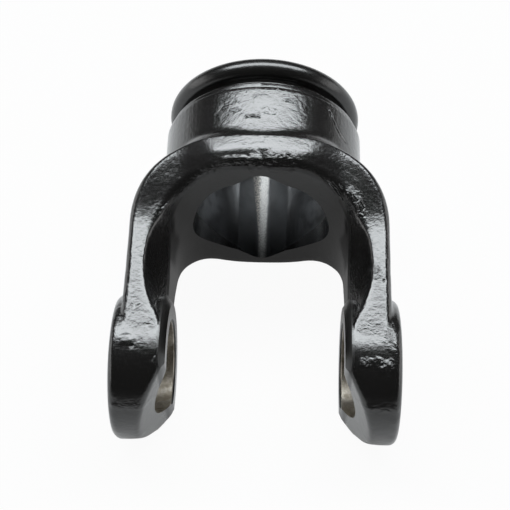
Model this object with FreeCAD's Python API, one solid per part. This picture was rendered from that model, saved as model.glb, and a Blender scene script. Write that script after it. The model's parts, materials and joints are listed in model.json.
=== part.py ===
import FreeCAD
import Part
import math
import os

# A forged end yoke for a universal joint, in one piece. It is worked out first along
# its own axes: X is the ear-bore axis, Y runs from the ears to the hub end, and Z is
# the height of the fork. Then it is turned about X, to lie as it rests: on the rims of
# its two ears and on the crown of its arch. The origin is where the ear-bore axis
# crosses the hub axis.

V = FreeCAD.Vector
AXIS_X = V(1, 0, 0)
AXIS_Y = V(0, 1, 0)
AXIS_Z = V(0, 0, 1)
ORIGIN = V(0, 0, 0)

# Ears
cap_bore = 27.0            # bore for a bearing cap
ear_span = 81.7            # over the two outer faces
ear_gap = 50.1             # between the two inner bosses
ear_radius = 21.2          # rim of an ear
ear_edge = 2.2             # rounding of the rim, outside
boss_step = 1.4            # an inner boss stands this far in from its arm
boss_depth = 1.7           # its bevel goes this deep, into the side of the arm
boss_bevel = 2.6           # bevel round an inner boss, measured along the radius
bore_chamfer = 0.7
ring_inside = 74.6         # between the snap rings, over the caps of the cross
ring_groove_wide = 1.75
ring_groove_deep = 0.9
tip_bevel_start = 6.4      # the tip bevel starts this far below the bore axis
tip_bevel_angle = 28.0     # from the inner face outwards, degrees
tip_edge = 2.0             # rounding of the tip bevel's edge on the rim
tip_cutter = 2 * ear_radius

# Hub bore, for a tube with two lobes
profile_bore = 21.3        # radius of the hub bore
lobe_depth = 3.7           # a lobe is this much deeper than the bore
lobe_reach = profile_bore + lobe_depth
lobe_share = 0.3756        # half width of a lobe where it leaves the bore, over the bore's radius
lobe_half_width = lobe_share * profile_bore
lobe_round = 4.5
lobe_root = 3.0            # a lobe's cutter starts this far inside the bore
hub_bore_chamfer = 1.0

# Hub
hub_wall = 6.4             # wall behind a lobe
hub_radius = lobe_reach + hub_wall
hub_end = 92.2
bead_drop = 0.4            # the bead is this much lower than the hub's body
bead_radius = hub_radius - bead_drop
bead_start = 85.3
bead_round = 3.4
groove_start = 81.9
groove_wall = 1.8          # wall behind a lobe, under the groove
groove_radius = lobe_reach + groove_wall
groove_corner = 0.8
land_drop = 0.9            # turned land before the groove
land_radius = hub_radius - land_drop
land_wide = 1.8
land_step = 0.7
land_edge = 0.6
hub_fillet = 6.0           # where the hub runs into the back of the arch

cutter_past = 2.0          # the bores' cutters run this far past what they cut
clear = 2 * hub_radius     # and the cutter of the U reaches this far, clear of everything

# Arms and arch
arm_sunk = 1.75            # an ear's outer face stands this far out from its arm
arm_outer = ear_span - 2 * arm_sunk
arm_draft = 2.5            # draft of the forging's outer sides, degrees
crotch_y = 51.2            # bottom of the U between the arms
crotch_corner = 14.5       # inner corner of the U, in plan
arch_thick = 11.0          # from the bottom of the U to the back of the arch
arch_back = crotch_y + arch_thick
arch_corner = 23.3         # outer corner of the arch, in plan
arch_rise = 0.4            # the crown of the arch stands this far above the hub
arch_height = hub_radius + arch_rise
arm_drop = 0.25            # an arm's top is this far below the ear's rim, at the bore axis
arm_low = ear_radius - arm_drop
arm_climb = 1.25           # and it climbs this much on its way to the arch
arm_height = arm_low + arm_climb
arm_sink = 0.2             # slope of an arm's top, down into its ear, past the bore axis
crown_from = 7.0           # the crown of the arch falls from here outwards, off the middle
crown_edge = 11.6          # and levels out this far in from the arms' outer sides
crown_to = arm_outer / 2 - crown_edge
crown_side = 4.2           # this far above the arms
rise_back = 28.2           # the arms begin to rise this far before the back of the arch
rise_from = arch_back - rise_back
rise_middle = arch_back - 5.2   # the arch is level from here on in its middle
rise_side = arch_back + 1.8     # and would be from here on at its sides
ridge_share = 0.68         # a slight ridge runs along an arm's top, at this share of its width
ridge_back = 0.48          # and at this share of the arch's thickness, in its middle
ridge_rise = 0.1
ridge_round = 6.0
outer_round = 2.2          # rounding of the outer edges of the arms
back_round = 1.2           # and of the back of the arch
relief_round = 1.6         # rounding of the relief's two edges along an arm
crotch_round = 2.2         # and round the arch
# the slanting relief of the U's edge along an arm: (y, width, depth)
arm_relief = ((-6.0, 1.0, 1.2), (0.0, 1.0, 1.4), (6.0, 1.2, 2.6), (12.5, 4.0, 10.6), (20.0, 6.0, 13.4),
              (27.5, 6.3, 12.4), (33.5, 5.4, 9.0))
# and round the corner to the middle of the arch: (angle, width, depth)
corner_relief = ((6.0, 3.2, 5.8), (20.0, 2.4, 4.6), (38.0, 2.4, 3.0), (56.0, 2.2, 2.1), (74.0, 2.0, 1.7),
                 (90.0, 2.0, 1.6))


def rounded(corners):
    """A closed wire through corners (point, radius), with its corners rounded by arcs."""
    count = len(corners)
    ends = []
    for i, (corner, radius) in enumerate(corners):
        before = corners[i - 1][0] - corner
        after = corners[(i + 1) % count][0] - corner
        before.normalize()
        after.normalize()
        if radius <= 0:
            ends.append((corner, None, corner))
            continue
        half = before.getAngle(after) / 2
        reach = radius / math.tan(half)
        middle = before + after
        middle.normalize()
        centre = corner + middle * (radius / math.sin(half))
        ends.append((corner + before * reach, centre - middle * radius, corner + after * reach))
    edges = []
    for i, (start, middle, end) in enumerate(ends):
        if middle is not None:
            edges.append(Part.Arc(start, middle, end).toShape())
        following = ends[(i + 1) % count][0]
        if end.distanceToPoint(following) > 1e-6:
            edges.append(Part.LineSegment(end, following).toShape())
    return Part.Wire(edges)


def outline(corners, plane):
    """A closed wire from corners (u, v, radius) in one of the three planes."""
    across, along = {"xy": (AXIS_X, AXIS_Y), "xz": (AXIS_X, AXIS_Z), "yz": (AXIS_Y, AXIS_Z)}[plane]
    return rounded([(across * u + along * v, radius) for u, v, radius in corners])


def prism(corners, plane, low, high):
    """An outline, drawn in a plane, extruded from low to high along its normal."""
    normal = {"xy": AXIS_Z, "xz": AXIS_Y, "yz": AXIS_X}[plane]
    face = Part.Face(outline(corners, plane))
    face.translate(normal * low)
    return face.extrude(normal * (high - low))


def disc(radius, x_start, x_end):
    """A cylinder on the ear-bore axis."""
    low, high = min(x_start, x_end), max(x_start, x_end)
    return Part.makeCylinder(radius, high - low, V(low, 0, 0), AXIS_X)


def cone(radius_start, radius_end, x_start, x_end):
    """A cone on the ear-bore axis."""
    direction = AXIS_X * (1 if x_end > x_start else -1)
    return Part.makeCone(radius_start, radius_end, abs(x_end - x_start), V(x_start, 0, 0), direction)


def ease(value, low, high):
    """From 0 at low to 1 at high, level at both ends."""
    share = min(1.0, max(0.0, (value - low) / (high - low)))
    return share * share * (3 - 2 * share)


def fork_height(x, y):
    """Half height of the fork above a point of its plan."""
    arm = arm_low + (arm_height - arm_low) * min(1.0, y / rise_from)
    if y < 0:
        arm = arm_low + arm_sink * y
    side = arm_height + crown_side
    aside = ease(abs(x), crown_from, crown_to)
    crown = arch_height + (side - arch_height) * aside
    return arm + (crown - arm) * ease(y, rise_from, rise_middle + (rise_side - rise_middle) * aside)


def fork_section(inside, outside, bite, drop, inner_round, back):
    """Upper half of the fork's section between two points of its plan; back is 0 on an arm, 1 behind the U."""
    across = outside - inside
    to_ridge = across.Length * (ridge_share + (ridge_back - ridge_share) * back)
    across.normalize()
    ridge = inside + across * to_ridge
    top_in = fork_height(inside.x, inside.y)
    top_ridge = fork_height(ridge.x, ridge.y) + ridge_rise
    top_out = fork_height(outside.x, outside.y)
    lean = top_out * math.tan(math.radians(arm_draft)) * (1 - back)
    slope = (top_ridge - top_in) / to_ridge
    edge = outer_round + (back_round - outer_round) * back
    return rounded([(inside, 0), (inside + AXIS_Z * (top_in - drop), inner_round),
                    (inside + across * bite + AXIS_Z * (top_in + slope * bite), inner_round),
                    (ridge + AXIS_Z * top_ridge, ridge_round),
                    (outside - across * lean + AXIS_Z * top_out, edge), (outside, 0)])


def fork_stations():
    """Where the fork is cut for its sections, from the ear to the middle of the arch."""
    inner = ear_gap / 2 + boss_step
    outer = arm_outer / 2
    inner_centre = V(inner - crotch_corner, crotch_y - crotch_corner, 0)
    outer_centre = V(outer - arch_corner, arch_back - arch_corner, 0)
    stations = [(V(inner, y, 0), V(outer, y, 0), bite, drop, relief_round, 0) for y, bite, drop in arm_relief]
    for angle, bite, drop in corner_relief:
        turn = V(math.cos(math.radians(angle)), math.sin(math.radians(angle)), 0)
        stations.append((inner_centre + turn * crotch_corner, outer_centre + turn * arch_corner, bite, drop,
                         crotch_round, turn.y ** 2))
    bite, drop = corner_relief[-1][1:]
    near_middle = crown_from / 2
    stations.append((V(near_middle, crotch_y, 0), V(near_middle, arch_back, 0), bite, drop, crotch_round, 1))
    return stations


def fork_blank():
    """Arms and arch, lofted round the U through sections above the parting plane."""
    right = [fork_section(*station) for station in fork_stations()]
    left = [wire.mirror(ORIGIN, AXIS_X) for wire in reversed(right)]
    upper = Part.makeLoft(right + left, True, False)
    return upper.fuse(upper.mirror(ORIGIN, AXIS_Z))


def hub_start():
    """Where the hub's side meets the arch's outer corner, in plan."""
    reach = hub_radius - (arm_outer / 2 - arch_corner)
    return arch_back - arch_corner + math.sqrt(arch_corner ** 2 - reach ** 2) - hub_fillet / 2


def hub_blank():
    """The turned and forged hub, solid, revolved about the hub axis; it begins under the arch's ridge."""
    land_start = groove_start - land_wide
    profile = [(0, hub_start(), 0), (hub_radius, hub_start(), 0),
               (hub_radius, land_start - land_step, land_edge),
               (land_radius, land_start, 0), (land_radius, groove_start, land_edge),
               (groove_radius, groove_start, groove_corner), (groove_radius, bead_start, groove_corner),
               (bead_radius, bead_start, bead_round), (bead_radius, hub_end, bead_round), (0, hub_end, 0)]
    face = Part.Face(outline(profile, "xy"))
    return face.revolve(ORIGIN, AXIS_Y, 360).cut(u_gap(arch_thick * ridge_share))


def ear(sign):
    """One ear: a disc that is proud of its arm outside, and its bevelled boss inside."""
    outer = ear_span / 2
    inner = ear_gap / 2
    body = disc(ear_radius, sign * (inner + boss_depth), sign * outer)
    rim = [e for e in body.Edges if abs(e.BoundBox.Center.x - sign * outer) < 1e-3 and e.Length > ear_radius]
    body = body.makeFillet(ear_edge, rim)
    boss = cone(ear_radius - boss_bevel, ear_radius, sign * inner, sign * (inner + boss_depth))
    return body.fuse(boss)


def u_gap(margin):
    """The space between the arms, open towards the ears and larger by a margin."""
    inner = ear_gap / 2 + boss_step
    bottom = crotch_y + margin
    corners = [(-inner, -clear, 0), (inner, -clear, 0), (inner, bottom, crotch_corner),
               (-inner, bottom, crotch_corner)]
    return prism(corners, "xy", -clear, clear)


def tip_bevel(sign):
    """The wedge taken off an ear's inner side at its tip."""
    inner = ear_gap / 2
    end = -tip_bevel_start - tip_cutter
    rise = tip_cutter * math.tan(math.radians(tip_bevel_angle))
    corners = [(sign * inner, -tip_bevel_start, 0), (sign * (inner + rise), end, 0),
               (sign * (inner - rise), end, 0), (sign * (inner - rise), -tip_bevel_start, 0)]
    return prism(corners, "xy", -tip_cutter, tip_cutter)


def cap_bore_cut(sign):
    """One ear's bore with its snap-ring groove and its two chamfers."""
    radius = cap_bore / 2
    inner = ear_gap / 2
    outer = ear_span / 2
    groove = ring_inside / 2
    cut = disc(radius, sign * (inner - cutter_past), sign * (outer + cutter_past))
    cut = cut.fuse(disc(radius + ring_groove_deep, sign * groove, sign * (groove + ring_groove_wide)))
    wide = radius + bore_chamfer
    cut = cut.fuse(cone(radius, wide, sign * (outer - bore_chamfer), sign * outer))
    return cut.fuse(cone(wide, radius, sign * inner, sign * (inner + bore_chamfer)))


def lobe_foot():
    """Height where a lobe's sides leave the bore."""
    return math.sqrt(profile_bore ** 2 - lobe_half_width ** 2)


def lobe_tip():
    """Height of the corner that, once rounded, gives a lobe its reach."""
    low, high = lobe_foot(), lobe_foot() + hub_radius
    for _ in range(60):
        tip = (low + high) / 2
        half = math.atan2(lobe_half_width, tip - lobe_foot())
        if tip - lobe_round / math.sin(half) + lobe_round > lobe_reach:
            high = tip
        else:
            low = tip
    return tip


def hub_lobe(start, end):
    """The upper lobe of the hub's bore: a roof with a rounded ridge."""
    foot = lobe_foot()
    root = foot - lobe_root
    corners = [(-lobe_half_width, root, 0), (-lobe_half_width, foot, 0), (0, lobe_tip(), lobe_round),
               (lobe_half_width, foot, 0), (lobe_half_width, root, 0)]
    return prism(corners, "xz", start, end)


def hub_bore():
    """The hub's bore, right through, chamfered at the hub end."""
    start = crotch_y - crotch_corner - cutter_past
    end = hub_end + cutter_past
    through = Part.makeCylinder(profile_bore, end - start, V(0, start, 0), AXIS_Y)
    lobe = hub_lobe(start, end)
    through = through.fuse(lobe).fuse(lobe.mirror(ORIGIN, AXIS_Z))
    depth = hub_bore_chamfer + cutter_past
    chamfer_from = V(0, hub_end - hub_bore_chamfer, 0)
    return through.fuse(Part.makeCone(profile_bore, profile_bore + depth, depth, chamfer_from, AXIS_Y))


def hub_junction(shape):
    """The edges where the hub's side runs into the fork."""
    edges = []
    for edge in shape.Edges:
        surfaces = [face.Surface for face in shape.ancestorsOfType(edge, Part.Face)]
        on_hub = [isinstance(s, Part.Cylinder) and abs(s.Radius - hub_radius) < 1e-6 for s in surfaces]
        if on_hub.count(True) == 1 and edge.BoundBox.YMax < arch_back + hub_fillet:
            edges.append(edge)
    return edges


def tip_rim(shape):
    """The edges where the tip bevels cut the rims of the ears."""
    edges = []
    for edge in shape.Edges:
        surfaces = [face.Surface for face in shape.ancestorsOfType(edge, Part.Face)]
        on_rim = [isinstance(s, Part.Cylinder) and abs(s.Radius - ear_radius) < 1e-6 for s in surfaces]
        flat = [isinstance(s, Part.Plane) for s in surfaces]
        if any(on_rim) and any(flat) and edge.BoundBox.YMax < -tip_bevel_start:
            edges.append(edge)
    return edges


def build():
    body = fork_blank().fuse(hub_blank()).removeSplitter()
    body = body.makeFillet(hub_fillet, hub_junction(body))
    for sign in (-1, 1):
        body = body.fuse(ear(sign))
    for sign in (-1, 1):
        body = body.cut(tip_bevel(sign))
    body = body.makeFillet(tip_edge, tip_rim(body))
    for sign in (-1, 1):
        body = body.cut(cap_bore_cut(sign))
    return body.cut(hub_bore())


def rest_tilt():
    """The angle that brings the ears' rims and the crown of the arch down onto one level."""
    inside, outside, _, _, _, _ = fork_stations()[-1]
    ridge_y = inside.y + (outside.y - inside.y) * ridge_back
    ridge_z = arch_height + ridge_rise
    distance = math.hypot(ridge_y, ridge_z)
    return math.degrees(math.atan2(ridge_z, ridge_y) - math.asin(ear_radius / distance))


os.makedirs("parts", exist_ok=True)
natural = build()
yoke = natural.copy()
yoke.rotate(ORIGIN, AXIS_X, rest_tilt())
yoke.exportStep("parts/forged_yoke.step")
print("forged_yoke: volume", round(yoke.Volume), "mm3, resting at", round(rest_tilt(), 3), "degrees")
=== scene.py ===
# %% [markdown]
# A forged yoke from a drive shaft, painted gloss black
#
# This notebook dresses one solid piece of forged steel. The shape comes from the packed
# model and stays as it is. What is added here is what a hammer, a trimming press, a lathe
# and a dip of paint leave behind: a swollen, pitted skin, a few scars and burrs, clean
# turned faces, bare bores and a thick glossy coat.

# %% Load the fixed frame
import json
import math

import bmesh
import bpy
import numpy as np
from mathutils import Matrix, Vector
from mathutils.bvhtree import BVHTree
from mathutils.kdtree import KDTree


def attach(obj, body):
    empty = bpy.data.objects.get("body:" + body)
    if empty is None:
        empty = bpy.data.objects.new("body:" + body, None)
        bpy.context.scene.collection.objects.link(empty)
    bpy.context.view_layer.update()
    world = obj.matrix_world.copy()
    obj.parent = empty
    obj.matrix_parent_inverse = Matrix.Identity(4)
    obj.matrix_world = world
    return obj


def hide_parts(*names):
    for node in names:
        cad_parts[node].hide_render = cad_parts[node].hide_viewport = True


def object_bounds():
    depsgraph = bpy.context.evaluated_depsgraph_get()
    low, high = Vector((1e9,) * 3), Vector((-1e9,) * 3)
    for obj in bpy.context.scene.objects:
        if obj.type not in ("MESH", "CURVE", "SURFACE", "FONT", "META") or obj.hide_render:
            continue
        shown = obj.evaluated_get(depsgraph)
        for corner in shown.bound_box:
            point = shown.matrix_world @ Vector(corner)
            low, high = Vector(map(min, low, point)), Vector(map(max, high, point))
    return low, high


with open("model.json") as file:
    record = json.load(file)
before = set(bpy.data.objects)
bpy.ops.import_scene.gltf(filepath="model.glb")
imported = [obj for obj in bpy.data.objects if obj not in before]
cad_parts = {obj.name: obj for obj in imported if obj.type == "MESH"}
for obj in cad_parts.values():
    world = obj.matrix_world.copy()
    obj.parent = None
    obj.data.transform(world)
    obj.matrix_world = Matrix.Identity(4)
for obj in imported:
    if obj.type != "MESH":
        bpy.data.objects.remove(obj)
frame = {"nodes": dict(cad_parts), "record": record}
cad_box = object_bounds()
print("frame box", cad_box)

# %% [markdown]
# The yoke lies on a table, so its hub axis is not level. It is easier to think in the
# yoke's own axes: x along the ear bores, y along the hub, z up out of the fork. One turn
# about x goes from there to the table. The hub bore's mount holds that turn, so it is read
# from the record and never typed in twice.

# %% The yoke's own axes
MM = 0.001
mounts = {mount["name"]: mount for mount in frame["record"]["mounts"]}
hub_axis = Vector(mounts["hub_bore"]["axis"])
TILT = math.atan2(hub_axis.z, hub_axis.y)
TO_TABLE = Matrix.Rotation(TILT, 4, "X")
TO_YOKE = TO_TABLE.inverted()
FLOOR_Z = cad_box[0].z
print("the yoke is tilted", round(math.degrees(TILT), 2), "degrees")


def own_axes(points):
    """Points of the frame, in metres, as points along the yoke's own axes, in millimetres."""
    turn = np.array(TO_YOKE.to_3x3())
    return points @ turn.T / MM


# %% [markdown]
# The camera looks down on the fork from behind the ears. Its place was worked out in the
# yoke's own axes, from the outlines of the bead, the ears and the bores, and the same turn
# brings it to the table. A long lens keeps the two arms nearly parallel.

# %% Camera
CAMERA_ELEVATION = math.radians(60.92)
CAMERA_AZIMUTH = math.radians(-3.16)
CAMERA_ROLL = math.radians(-1.56)
CAMERA_DISTANCE = 328.75 * MM
CAMERA_TARGET = Vector((-1.102, 30.0, 14.918)) * MM
FOCAL_PIXELS = 1113.97
PHOTO_PIXELS = 510
SENSOR = 36.0
CLIP_START = 0.01


def camera_matrix():
    """The camera's place and turn, on the table."""
    forward = Vector((math.sin(CAMERA_AZIMUTH) * math.cos(CAMERA_ELEVATION),
                      math.cos(CAMERA_AZIMUTH) * math.cos(CAMERA_ELEVATION),
                      -math.sin(CAMERA_ELEVATION)))
    level = Vector((math.cos(CAMERA_AZIMUTH), -math.sin(CAMERA_AZIMUTH), 0))
    upright = level.cross(forward)
    right = math.cos(CAMERA_ROLL) * level + math.sin(CAMERA_ROLL) * upright
    up = -math.sin(CAMERA_ROLL) * level + math.cos(CAMERA_ROLL) * upright
    place = CAMERA_TARGET - forward * CAMERA_DISTANCE
    own = Matrix.Translation(place) @ Matrix((right, up, -forward)).transposed().to_4x4()
    return TO_TABLE @ own


camera_data = bpy.data.cameras.new("camera")
camera_data.sensor_width = SENSOR
camera_data.lens = FOCAL_PIXELS * SENSOR / PHOTO_PIXELS
camera_data.clip_start = CLIP_START
camera = bpy.data.objects.new("camera", camera_data)
bpy.context.scene.collection.objects.link(camera)
camera.matrix_world = camera_matrix()
bpy.context.scene.camera = camera
print("lens", round(camera_data.lens, 2), "mm")


def ray_through(x, y):
    """Origin and direction of the camera's ray through a pixel of the 510 pixel frame."""
    turn = camera.matrix_world.to_3x3()
    half = PHOTO_PIXELS / 2
    direction = turn @ Vector(((x - half) / FOCAL_PIXELS, (half - y) / FOCAL_PIXELS, -1))
    return camera.matrix_world.translation.copy(), direction.normalized()


# %% [markdown]
# Gloss black shows almost nothing of its own colour. It shows the room: a large soft lamp
# over the hub, a white table below, white screens standing low at both sides, and a dark
# room elsewhere. So the light is built for its reflections. The lamp lights plain colours as
# they are written. Right behind it a glow panel of the same size and radiance shows in
# reflections alone: it adds to what the paint mirrors, and lights nothing plain.

# %% Lamp and glow panel
LAMP_SIZE = (1.45, 0.42)
LAMP_HEIGHT = 0.90
LAMP_LEAN = math.radians(20)
LAMP_RADIANCE = 4.2
LAMP_TINT = (0.93, 0.975, 1.0)
GLOW_RADIANCE = 4.2
GLOW_BEHIND = 0.01
middle = (cad_box[0] + cad_box[1]) / 2
to_lamp = Vector((0, math.sin(LAMP_LEAN), math.cos(LAMP_LEAN)))
lamp_turn = to_lamp.to_track_quat("Z", "Y")


def make_lamp():
    """The large soft lamp over the hub."""
    data = bpy.data.lights.new("soft_lamp", "AREA")
    data.shape = "RECTANGLE"
    data.size, data.size_y = LAMP_SIZE
    data.color = LAMP_TINT
    data.energy = LAMP_RADIANCE * math.pi * LAMP_SIZE[0] * LAMP_SIZE[1]
    lamp = bpy.data.objects.new("soft_lamp", data)
    bpy.context.scene.collection.objects.link(lamp)
    lamp.location = middle + to_lamp * LAMP_HEIGHT
    lamp.rotation_euler = lamp_turn.to_euler()
    print("lamp", round(data.energy, 2), "W")


def make_glow_panel():
    """A panel behind the lamp that only reflections can see."""
    half_x, half_y = LAMP_SIZE[0] / 2, LAMP_SIZE[1] / 2
    centre = middle + to_lamp * (LAMP_HEIGHT + GLOW_BEHIND)
    around = ((-half_x, -half_y), (-half_x, half_y), (half_x, half_y), (half_x, -half_y))
    corners = [centre + lamp_turn @ Vector((x, y, 0)) for x, y in around]
    mesh = bpy.data.meshes.new("glow_panel")
    mesh.from_pydata(corners, [], [(0, 1, 2, 3)])
    panel = bpy.data.objects.new("glow_panel", mesh)
    bpy.context.scene.collection.objects.link(panel)
    material = bpy.data.materials.new("glow")
    material.use_nodes = True
    material.cycles.emission_sampling = "NONE"
    tree = material.node_tree
    tree.nodes.clear()
    path = tree.nodes.new("ShaderNodeLightPath")
    clear = tree.nodes.new("ShaderNodeBsdfTransparent")
    glow = tree.nodes.new("ShaderNodeEmission")
    glow.inputs["Color"].default_value = (*LAMP_TINT, 1)
    glow.inputs["Strength"].default_value = GLOW_RADIANCE
    mix = tree.nodes.new("ShaderNodeMixShader")
    out = tree.nodes.new("ShaderNodeOutputMaterial")
    tree.links.new(path.outputs["Is Glossy Ray"], mix.inputs["Fac"])
    tree.links.new(clear.outputs[0], mix.inputs[1])
    tree.links.new(glow.outputs[0], mix.inputs[2])
    tree.links.new(mix.outputs[0], out.inputs["Surface"])
    mesh.materials.append(material)


make_lamp()
make_glow_panel()

# %% [markdown]
# The world answers three questions. The camera sees plain white. Diffuse light gets a little
# fill. Reflections get white below the table's horizon, a brighter white at both sides, where
# the screens stand, and a dark room everywhere else, because that dark is what makes the
# paint look black. Each question is a ray type of the Light Path node, so one world serves all.

# %% World
FILL_LIGHT = 0.14
ROOM_DARK = 0.04
SCREEN_SIDE = (0.80, 0.93)
SCREEN_TOP = (0.25, 0.50)
SCREEN_RADIANCE = 1.4
HORIZON = (-0.02, 0.04)
WHITE = (1, 1, 1, 1)


def ramp(tree, value, start, end, low=0.0, high=1.0):
    """A smooth step of a value, as a node."""
    node = tree.nodes.new("ShaderNodeMapRange")
    node.interpolation_type = "SMOOTHSTEP"
    tree.links.new(value, node.inputs["Value"])
    node.inputs["From Min"].default_value = start
    node.inputs["From Max"].default_value = end
    node.inputs["To Min"].default_value = low
    node.inputs["To Max"].default_value = high
    return node.outputs["Result"]


def calculate(tree, operation, *values):
    """A math node over sockets and plain numbers."""
    node = tree.nodes.new("ShaderNodeMath")
    node.operation = operation
    for i, value in enumerate(values):
        if isinstance(value, (int, float)):
            node.inputs[i].default_value = value
        else:
            tree.links.new(value, node.inputs[i])
    return node.outputs[0]


def scaled(tree, vector, factor):
    """A vector made longer or shorter, as a node."""
    node = tree.nodes.new("ShaderNodeVectorMath")
    node.operation = "SCALE"
    tree.links.new(vector, node.inputs[0])
    tree.links.new(factor, node.inputs["Scale"])
    return node.outputs[0]


def blend(tree, factor, first, second, kind="RGBA"):
    """A mix of two colours or numbers, each a socket or a constant."""
    node = tree.nodes.new("ShaderNodeMix")
    node.data_type = kind
    tree.links.new(factor, node.inputs["Factor"])
    places = (6, 7) if kind == "RGBA" else (2, 3)
    for place, value in zip(places, (first, second)):
        if isinstance(value, (int, float, tuple)):
            node.inputs[place].default_value = value
        else:
            tree.links.new(value, node.inputs[place])
    return node.outputs[2 if kind == "RGBA" else 0]


def make_world():
    """White to the camera, a little fill for plain colours, screens and dark for reflections."""
    world = bpy.data.worlds.new("white_room")
    bpy.context.scene.world = world
    world.use_nodes = True
    tree = world.node_tree
    tree.nodes.clear()
    path = tree.nodes.new("ShaderNodeLightPath")
    direction = tree.nodes.new("ShaderNodeTexCoord").outputs["Generated"]
    split = tree.nodes.new("ShaderNodeSeparateXYZ")
    tree.links.new(direction, split.inputs[0])
    side = ramp(tree, calculate(tree, "ABSOLUTE", split.outputs["X"]), *SCREEN_SIDE)
    under_top = ramp(tree, split.outputs["Z"], *SCREEN_TOP, SCREEN_RADIANCE, 0.0)
    low = ramp(tree, split.outputs["Z"], *HORIZON, 1.0, 0.0)
    screens = calculate(tree, "MAXIMUM", calculate(tree, "MULTIPLY", side, under_top), low)
    mirrored = calculate(tree, "MAXIMUM", screens, ROOM_DARK)
    see = calculate(tree, "MAXIMUM", path.outputs["Is Glossy Ray"], path.outputs["Is Transmission Ray"])
    lit = blend(tree, see, FILL_LIGHT, mirrored, "FLOAT")
    strength = calculate(tree, "MAXIMUM", path.outputs["Is Camera Ray"], lit)
    background = tree.nodes.new("ShaderNodeBackground")
    background.inputs["Color"].default_value = WHITE
    tree.links.new(strength, background.inputs["Strength"])
    out = tree.nodes.new("ShaderNodeOutputWorld")
    tree.links.new(background.outputs[0], out.inputs["Surface"])


make_world()

# %% [markdown]
# Of the table the photograph keeps only white and a faint shadow. So nearly all that the
# camera sees of it is an even glow, mixed with a little of the lit surface, which carries the
# shadow. What the paint mirrors of it is mostly the lit surface, with a little of the glow.

# %% Table
TABLE_SIZE = 6.0
TABLE_COLOUR = (0.90, 0.90, 0.90, 1)
TABLE_GLOW = 0.95
TABLE_SHEEN = 0.18
TABLE_ROUGHNESS = 0.8
TABLE_SPECULAR = 0.1


def make_table():
    """A white table that shows itself nearly evenly white to the camera, with a soft shadow."""
    half = TABLE_SIZE / 2
    mesh = bpy.data.meshes.new("table")
    corners = [(x, y, FLOOR_Z) for x, y in ((-half, -half), (half, -half), (half, half), (-half, half))]
    mesh.from_pydata(corners, [], [(0, 1, 2, 3)])
    table = bpy.data.objects.new("table", mesh)
    bpy.context.scene.collection.objects.link(table)
    material = bpy.data.materials.new("white_table")
    material.use_nodes = True
    tree = material.node_tree
    shader = tree.nodes["Principled BSDF"]
    shader.inputs["Base Color"].default_value = TABLE_COLOUR
    shader.inputs["Roughness"].default_value = TABLE_ROUGHNESS
    shader.inputs["Specular IOR Level"].default_value = TABLE_SPECULAR
    glow = tree.nodes.new("ShaderNodeEmission")
    path = tree.nodes.new("ShaderNodeLightPath")
    seen = calculate(tree, "MULTIPLY", path.outputs["Is Camera Ray"], TABLE_GLOW)
    mirrored = calculate(tree, "MULTIPLY", path.outputs["Is Glossy Ray"], TABLE_SHEEN)
    mix = tree.nodes.new("ShaderNodeMixShader")
    tree.links.new(calculate(tree, "MAXIMUM", seen, mirrored), mix.inputs["Fac"])
    tree.links.new(shader.outputs[0], mix.inputs[1])
    tree.links.new(glow.outputs[0], mix.inputs[2])
    tree.links.new(mix.outputs[0], tree.nodes["Material Output"].inputs["Surface"])
    mesh.materials.append(material)


make_table()
print("table at", round(FLOOR_Z / MM, 2), "mm")
bpy.context.scene.view_settings.view_transform = "Standard"

# %% [markdown]
# The yoke is one forging, so there is one mesh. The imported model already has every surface
# in its true place, with crisp turned edges. A forging's skin is never that clean, so the
# model is copied, its long triangles are split where there is skin to carve, and its turned
# faces are left alone. Remeshing with voxels would be shorter, but it would chew the edges
# of the bead, the groove and the bores.

# %% Which parts of the surface are skin
EAR_BORE = mounts["ear_bores"]["dims"]["r_mm"]
HUB_BORE = mounts["hub_bore"]["dims"]["r_mm"]
SPAN = mounts["ear_bores"]["dims"]["length_mm"]
# millimetres along the hub over which the skin fades into the turned land
TURNED = (78.2, 79.4)
# millimetres outside the hub bore where skin starts; towards the fork this is switched off
BORE_RIM = (4.4, 5.4)
WALL = (57.0, 53.0)
RIM_OFF = 20.0
# no skin in the ear bores, on the ears' end faces and on the bosses inside them
EAR_RIM = 1.2
EAR_INSIDE = 20.0
END_FACE = (0.5, 0.1)
BOSS_FACE = (27.2, 26.4)
BOSS_END = (23.0, 21.0)
# half the width, the depth and the corner radius of the U between the arms
U_HALF = 26.45
U_DEEP = 51.2
U_CORNER = 14.5
TRIM_BLEND = (0.25, 0.7)


def soft_step(low, high, values):
    """0 below low, 1 above high, and a smooth ramp between them."""
    share = np.clip((values - low) / (high - low), 0, 1)
    return share * share * (3 - 2 * share)


def skin_of(own):
    """How rough the forging's skin is at points in own axes: 0 on turned faces, 1 on raw skin."""
    x, y, z = np.abs(own[:, 0]), own[:, 1], own[:, 2]
    hub_r = np.hypot(x, z)
    ear_r = np.hypot(y, z)
    skin = 1 - soft_step(*TURNED, y)
    skin *= soft_step(HUB_BORE + BORE_RIM[0], HUB_BORE + BORE_RIM[1], hub_r + RIM_OFF * soft_step(*WALL, y))
    skin[(ear_r < EAR_BORE + EAR_RIM) & (x > EAR_INSIDE)] = 0
    skin *= 1 - soft_step(SPAN / 2 - END_FACE[0], SPAN / 2 - END_FACE[1], x)
    skin *= 1 - soft_step(*BOSS_FACE, x) * soft_step(*BOSS_END, y)
    return skin


def trimmed_wall(own):
    """1 on the wall that the trimming press cut inside the U, 0 elsewhere."""
    x, y = np.abs(own[:, 0]), own[:, 1]
    corner_x, corner_y = U_HALF - U_CORNER, U_DEEP - U_CORNER
    past = np.hypot(np.clip(x - corner_x, 0, None), np.clip(y - corner_y, 0, None)) - U_CORNER
    return 1 - soft_step(*TRIM_BLEND, np.abs(past))


# %% A copy of the solid
SHARP = math.radians(25)
JOINED = 1e-6


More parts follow.
